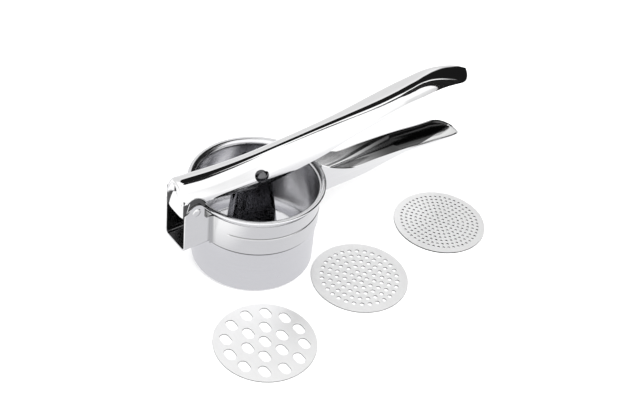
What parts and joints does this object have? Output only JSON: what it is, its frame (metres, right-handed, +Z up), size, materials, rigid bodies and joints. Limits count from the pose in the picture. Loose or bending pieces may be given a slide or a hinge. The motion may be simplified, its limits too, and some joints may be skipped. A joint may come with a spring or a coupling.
{
  "type": "potato ricer",
  "caption": "Hand press with a lipped steel cup in a strap, two long channel handles, a hinged press plate and loose sieve discs beside it.",
  "frame": {"origin": "on the cup's axis, on the surface that the cup stands on, at the mouth of the outlet", "axes": "+X along the handles, away from the hinge; +Z up; +Y completes the right-handed frame"},
  "size_m": [0.2657, 0.1632, 0.1075],
  "materials": {
    "cup_steel": "polished outside, fine turned grain inside",
    "polished_steel": "mirror polished sheet",
    "mirror_steel": "dark mirror polish",
    "plate_steel": "fine satin",
    "rivet_steel": "polished dome",
    "disc_steel": "satin sheet"
  },
  "bodies": {
    "frame": {"cup_strap": "polished_steel", "hopper_cup": "cup_steel", "lower_handle": "polished_steel", "hinge_rivet": "rivet_steel", "hinge_spacer": "rivet_steel"},
    "handle": {"upper_handle": "polished_steel", "plunger_rivet": "rivet_steel", "plunger_washers": "rivet_steel", "plunger_spacer": "rivet_steel"},
    "plunger": {"plunger_bracket": "mirror_steel", "press_plate": "plate_steel"},
    "coarse_sieve": {"coarse_disc": "disc_steel"},
    "medium_sieve": {"medium_disc": "disc_steel"},
    "fine_sieve": {"fine_disc": "disc_steel"}
  },
  "joints": [
    {"name": "handle_hinge", "type": "hinge", "parent": "frame", "child": "handle", "pos_m": [-0.0561, 0, 0.0685], "axis": [0, -1, 0], "range_deg": [-4, 68]},
    {"name": "plunger_hinge", "type": "hinge", "parent": "handle", "child": "plunger", "pos_m": [-0.0041, 0, 0.0781], "axis": [0, -1, 0], "range_deg": [-36.5, 2.2]},
    {"name": "coarse_disc_lift", "type": "slide", "parent": "frame", "child": "coarse_sieve", "axis": [0, 0, 1], "range_m": [0, 0.05]},
    {"name": "medium_disc_lift", "type": "slide", "parent": "frame", "child": "medium_sieve", "axis": [0, 0, 1], "range_m": [0, 0.05]},
    {"name": "fine_disc_lift", "type": "slide", "parent": "frame", "child": "fine_sieve", "axis": [0, 0, 1], "range_m": [0, 0.05]}
  ],
  "couplings": [
    {"joint": "plunger_hinge", "follows": "handle_hinge", "ratio": -0.53}
  ]
}
